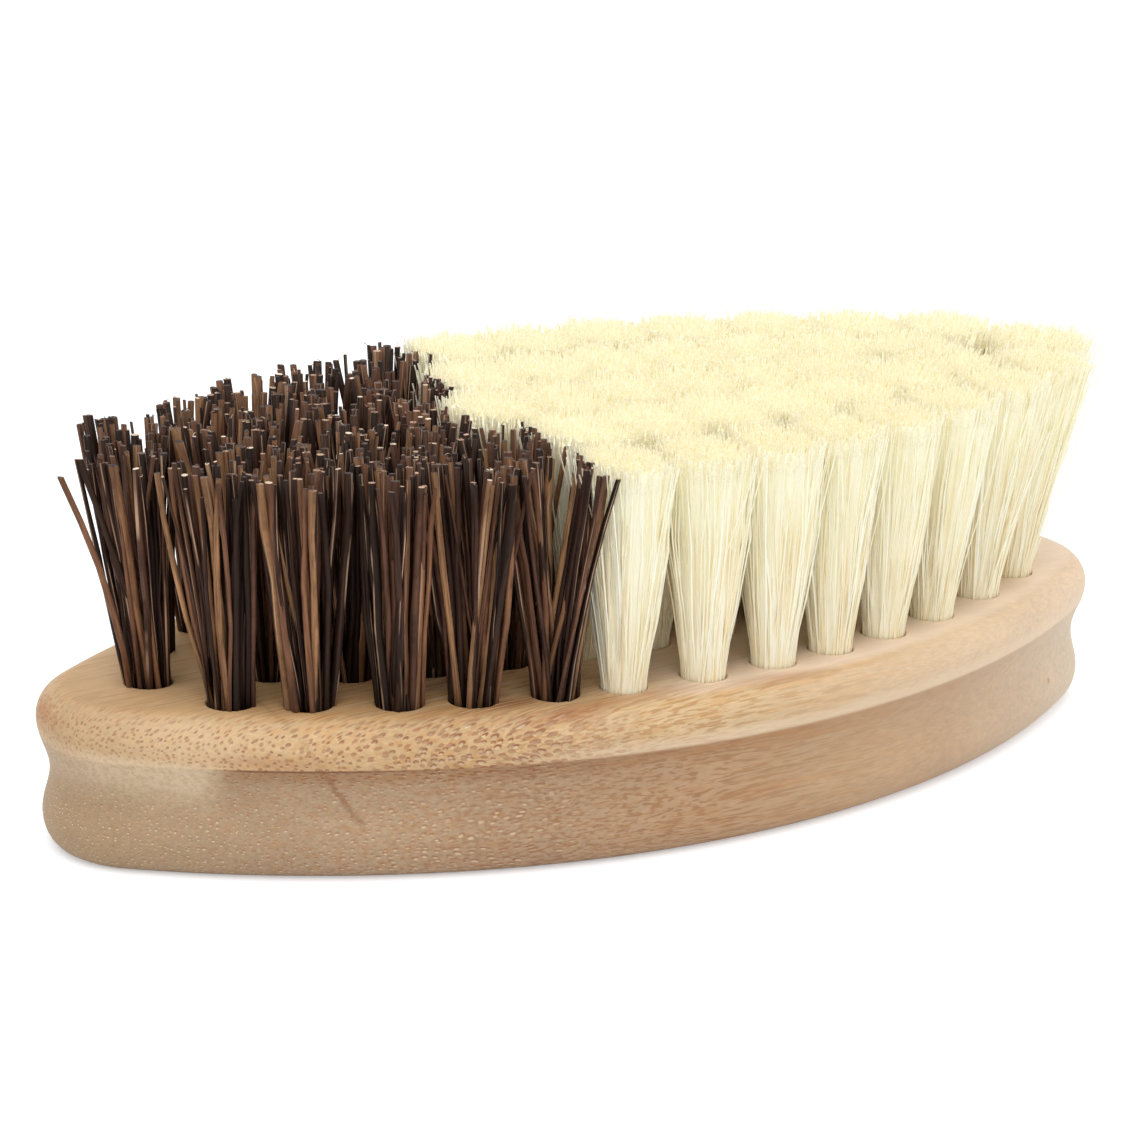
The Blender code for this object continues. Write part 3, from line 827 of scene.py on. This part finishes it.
def growTuft(name, node, number, style, strand, heart, thread, slot, material, neighbours):
    # one tuft as one mesh: its bristles, then the packed middle or the torn threads if it has them
    root = rootPlace(node)
    tip, tipReach = headOf(style, node)
    tall = nodePoints(node)[:, 2].max()
    chance = np.random.default_rng(number)
    starts, ends, height = placeBristles(style, root, tip, tipReach, tall, chance)
    ends = besideNeighbours(style, ends, tip, neighbours)
    count = style["count"]
    base, loops, sizes, caps = strandData(strand)
    radius = chance.uniform(*style["radius"], count)
    flat = chance.uniform(*style["flatness"], count)
    turn = chance.uniform(0, 2 * pi, count)
    fibres = np.arange(count)
    if node == looseBristle["node"]:
        fibres[-1] = looseBristle["fibre"]
        starts[-1], ends[-1] = looseBristle["start"], looseBristle["end"]
        height[-1], radius[-1] = looseBristle["height"], looseBristle["radius"]
    bow = chance.normal(0, style["bow"], (count, 2))
    levels = np.array(style["levels"])
    kinks = chance.normal(0, style["kink"], (count, len(levels), 2))
    level = np.array([np.argmin(np.abs(levels - z)) for z in base[:, 2]])
    z = tuftHeights["fold"] + (height[:, None] - tuftHeights["fold"]) * base[None, :, 2]
    fan = fanOut(z, height[:, None]) ** style["flare"]
    centre = starts[:, None, :] + (ends - starts)[:, None, :] * fan[..., None]
    centre += bow[:, None, :] * np.sin(pi * fan)[..., None]
    centre += kinks[:, level, :] * np.minimum(1, fan / bristlePacking["kinkStart"])[..., None]
    thick = radius[:, None] * (1 + chance.normal(0, style["knots"], (count, len(levels))))[:, level]
    x = base[None, :, 0] * thick
    y = base[None, :, 1] * thick * flat[:, None]
    c, s = np.cos(turn)[:, None], np.sin(turn)[:, None]
    placed = np.stack([centre[..., 0] + x * c - y * s, centre[..., 1] + x * s + y * c, z], axis=2)
    around = np.abs(np.arctan2(base[:, 1], base[:, 0])) / pi
    vRow = base[loops, 2] * fibreNumbers["side"]
    vRow[np.repeat(caps, sizes) & (base[loops, 2] > 0.5)] = 1.0
    u = (0.05 + 0.9 * around[loops])[None, :] + fibres[:, None] + number * fibreNumbers["perTuft"]
    order = (loops[None, :] + np.arange(count)[:, None] * len(base)).reshape(-1)
    parts = [(placed.reshape(-1, 3), order, np.tile(sizes, count), np.tile(caps, count),
              np.stack([u.reshape(-1), np.tile(vRow, count)], axis=1))]
    extras = []
    if heart:
        extras.append(heartMesh(style, heart, root, tip, tipReach, tall, number))
    if thread:
        extras.append(burrMesh(style, thread, ends, height, chance, number))
    for extra in extras:
        parts.append((extra[0], extra[1] + len(parts[0][0]), *extra[2:]))
    points, loops, sizes, caps, fibreMap = [np.concatenate(group) for group in zip(*parts)]
    mesh = bpy.data.meshes.new(name)
    mesh.vertices.add(len(points))
    mesh.vertices.foreach_set("co", points.reshape(-1))
    mesh.loops.add(len(loops))
    mesh.loops.foreach_set("vertex_index", loops)
    mesh.polygons.add(len(sizes))
    mesh.polygons.foreach_set("loop_start", np.concatenate([[0], np.cumsum(sizes)[:-1]]))
    mesh.polygons.foreach_set("use_smooth", ~caps & (style["sides"] > 4))
    mesh.update(calc_edges=True)
    layer = mesh.uv_layers.new(name="fibre")
    layer.data.foreach_set("uv", fibreMap.reshape(-1))
    mesh.materials.append(material)
    tuft = bpy.data.objects.new(name, mesh)
    bpy.context.scene.collection.objects.link(tuft)
    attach(tuft, "root")
    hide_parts(node)


palmLook = {
    "fibres": [(0.0, "#1E1310"), (0.36, "#38251E"), (0.58, "#5F4032"), (0.80, "#7F573F"), (1.0, "#9A724F")],
    "cutEnds": [(0.0, "#20130F"), (0.50, "#3B251D"), (0.74, "#70503F"), (0.88, "#BC987C"), (1.0, "#EFDBC3")],
    "edgeHighlightTone": "#C6A184",
    "noHighlightShare": 0.4,      # of the fibres have no painted edge highlight
    "streakScale": (4.5, 6, 1),     # streaks to a fibre's width and to its length
    "streakShade": (0.45, 1.7),
    "shade": [(0.16, 0.38), (0.46, 1.0), (0.80, 1.0), (0.94, 0.62)],    # dark at the roots, less so at the tips
    "gloss": {"Roughness": 0.42, "Specular IOR Level": 0.2, "Specular Tint": hexColour("#F8E0CE")},
}


def makePalmMaterial():
    # Palm leaf-stalk fibre, split and cut: near black to red brown with a dull waxy gloss, a painted highlight as
    # a pale line along some of the fibres, and pale torn ends
    look = palmLook
    material, tree, shader = newMaterial("split palm fibre", look["gloss"])
    fibre = addNode(tree, "UVMap", uv_map="fibre")
    u, v, _ = addNode(tree, "SeparateXYZ", {0: fibre}).outputs
    number = addNode(tree, "Math", {0: u}, operation="FLOOR")
    chances = addNode(tree, "TexWhiteNoise", {"W": number}, noise_dimensions="1D").outputs["Color"]
    chance = addNode(tree, "SeparateColor", {0: chances}).outputs
    ground = addNode(tree, "ValToRGB", {"Fac": chance[0]}, look["fibres"])
    streakAt = addNode(tree, "Mapping", {"Vector": fibre, "Scale": look["streakScale"]})
    streak = addNode(tree, "TexNoise", {"Vector": streakAt, "Scale": 1.0, "Detail": 4.0, "Roughness": 0.65})
    low, high = look["streakShade"]
    shade = addNode(tree, "MapRange", {"Value": streak, "From Min": 0.32, "From Max": 0.68, "To Min": low,
                                       "To Max": high})
    body = addNode(tree, "VectorMath", {0: ground, "Scale": shade}, operation="SCALE")

    # a painted highlight along one edge, a thin pale line, on rather more than half of the fibres
    round = addNode(tree, "Math", {0: u}, operation="FRACT")
    highlightAt = addNode(tree, "MapRange", {"Value": chance[1], "To Min": 0.2, "To Max": 0.8})
    aside = addNode(tree, "Math", {0: round, 1: highlightAt}, operation="SUBTRACT")
    aside = addNode(tree, "Math", {0: aside}, operation="ABSOLUTE")
    edgeHighlight = addNode(tree, "MapRange", {"Value": aside, "From Min": 0.07, "From Max": 0.03})
    breakAt = addNode(tree, "Mapping", {"Vector": fibre, "Scale": (1, 4, 1), "Location": (0.5, 0, 7)})
    breaks = addNode(tree, "TexNoise", {"Vector": breakAt, "Scale": 1.0, "Detail": 2.0})
    whole = addNode(tree, "MapRange", {"Value": breaks, "From Min": 0.42, "From Max": 0.55, "To Max": 0.95})
    hasHighlight = addNode(tree, "Math", {0: chance[2], 1: look["noHighlightShare"]}, operation="GREATER_THAN")
    edgeHighlight = addNode(tree, "Math", {0: edgeHighlight, 1: whole}, operation="MULTIPLY")
    edgeHighlight = addNode(tree, "Math", {0: edgeHighlight, 1: hasHighlight}, operation="MULTIPLY")
    body = addNode(tree, "Mix", {0: edgeHighlight, 6: body, 7: hexColour(look["edgeHighlightTone"])}, data_type="RGBA")

    tint = addNode(tree, "ValToRGB", {"Fac": v}, look["shade"])
    body = addNode(tree, "VectorMath", {0: body, "Scale": tint}, operation="SCALE")
    cut = addNode(tree, "MapRange", {"Value": v, "From Min": 0.985, "From Max": 0.995})
    ends = addNode(tree, "ValToRGB", {"Fac": chance[1]}, look["cutEnds"])
    colour = addNode(tree, "Mix", {0: cut, 6: body, 7: ends}, data_type="RGBA")
    tree.links.new(colour.outputs[2], shader.inputs["Base Color"])
    bump = addNode(tree, "Bump", {"Height": streak, "Strength": 0.5, "Distance": 0.0001})
    tree.links.new(bump.outputs[0], shader.inputs["Normal"])
    return material


tampicoLook = {
    "fibres": [(0.0, "#FFFEF2"), (0.50, "#FFFCE8"), (0.88, "#FDF2D5"), (0.97, "#F6E5BE"), (0.995, "#EDDAB2"),
               (1.0, "#C4A477")],
    "rootShadeTone": "#EDE3C2",
    "rootShadeForce": 0.40,
    "tipLightTone": "#FEFBE6",
    "tipLightForce": 0.85,
    "cutEndsPerMm": 4.2,    # 0.24 mm apart
    "gapShadeTone": "#D8C490",   # painted shade between the cut ends
    "gapShadeForce": 0.22,
    "gloss": {"Roughness": 0.65, "Specular IOR Level": 0.4},
}


def makeTampicoMaterial():
    # Tampico, the cleaned and bleached leaf fibre of an agave: ivory and matt, with painted shade that greys it
    # where it leaves the wood and painted light that whitens it towards the tips
    look = tampicoLook
    material, tree, shader = newMaterial("bleached tampico fibre", look["gloss"])
    fibre = addNode(tree, "UVMap", uv_map="fibre")
    u, v, _ = addNode(tree, "SeparateXYZ", {0: fibre}).outputs
    number = addNode(tree, "Math", {0: u}, operation="FLOOR")
    chance = addNode(tree, "TexWhiteNoise", {"W": number}, noise_dimensions="1D")
    ground = addNode(tree, "ValToRGB", {"Fac": chance}, look["fibres"])
    # painted shade: greyer towards the roots
    rootShade = addNode(tree, "MapRange", {"Value": v, "From Min": 0.2, "From Max": 0.5,
                                          "To Min": look["rootShadeForce"], "To Max": 0.0})
    colour = addNode(tree, "Mix", {0: rootShade, 6: ground, 7: hexColour(look["rootShadeTone"])}, data_type="RGBA")
    # painted light: whiter towards the tips
    tipLight = addNode(tree, "MapRange", {"Value": v, "From Min": 0.45, "From Max": 0.92,
                                         "To Max": look["tipLightForce"]})
    colour = addNode(tree, "Mix", {0: tipLight, 6: colour, 7: hexColour(look["tipLightTone"])}, data_type="RGBA")

    # the packed middle's top is drawn as cut ends
    coords = addNode(tree, "TexCoord").outputs["Object"]
    inMm = addNode(tree, "Mapping", {"Vector": coords, "Scale": (1000, 1000, 1000)})
    cutEnds = addNode(tree, "TexVoronoi", {"Vector": inMm, "Scale": look["cutEndsPerMm"]})
    # painted shade in the gaps between the cut ends
    gapShade = addNode(tree, "MapRange", {"Value": cutEnds, "From Min": 0.35, "From Max": 0.75,
                                      "To Max": look["gapShadeForce"]})
    nearTop = addNode(tree, "MapRange", {"Value": v, "From Min": 0.90, "From Max": 0.92})
    gapShade = addNode(tree, "Math", {0: gapShade, 1: nearTop}, operation="MULTIPLY")
    colour = addNode(tree, "Mix", {0: gapShade, 6: colour, 7: hexColour(look["gapShadeTone"])}, data_type="RGBA")
    tree.links.new(colour.outputs[2], shader.inputs["Base Color"])
    round = addNode(tree, "Math", {0: u}, operation="FRACT")
    across = addNode(tree, "Math", {0: round, 1: pi}, operation="MULTIPLY")
    relief = addNode(tree, "Math", {0: across}, operation="SINE")
    bump = addNode(tree, "Bump", {"Height": relief, "Strength": 0.15, "Distance": 0.00006})
    tree.links.new(bump.outputs[0], shader.inputs["Normal"])
    return material


def makeTufts(names):
    palmStrand = makeStrand("palmStrand", palmBristles)
    tampicoStrand = makeStrand("tampicoStrand", tampicoBristles)
    heart = makeHeart()
    ivoryHeads = [headOf(tampicoBristles, node) for node in names if node.startswith("tampico")]
    # style, strand, packed middle, torn thread, slot, material and the heads that the ends keep clear of
    kinds = {
        "palm": (palmBristles, palmStrand, None, tampicoStrand, "palm_fibre", makePalmMaterial(), ivoryHeads),
        "tampico": (tampicoBristles, tampicoStrand, heart, None, "tampico_fibre", makeTampicoMaterial(), []),
    }
    for number, node in enumerate(names):
        kind, _, row, place = node.split("_")
        growTuft(f"{kind}Bristles_{row}_{place}", node, number, *kinds[kind])
    for model in (palmStrand, tampicoStrand, heart):
        bpy.data.objects.remove(model)


def rootPlace(node):
    # the middle of a tuft's foot
    points = nodePoints(node)
    return points[points[:, 2] < points[:, 2].min() + 1e-5, :2].mean(axis=0)


addCamera()
addStudio()
print("camera and studio ready")
tuftNodes = [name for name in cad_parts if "_tuft_" in name]
makeBlock([rootPlace(node) for node in tuftNodes], makeBambooMaterial())
print("block ready")
makeTufts(sorted(tuftNodes))
print("tufts ready", len(tuftNodes))

bpy.context.scene.view_settings.view_transform = "Standard"
bpy.context.scene.cycles.diffuse_bounces = 10    # light passes between pale bristles many times
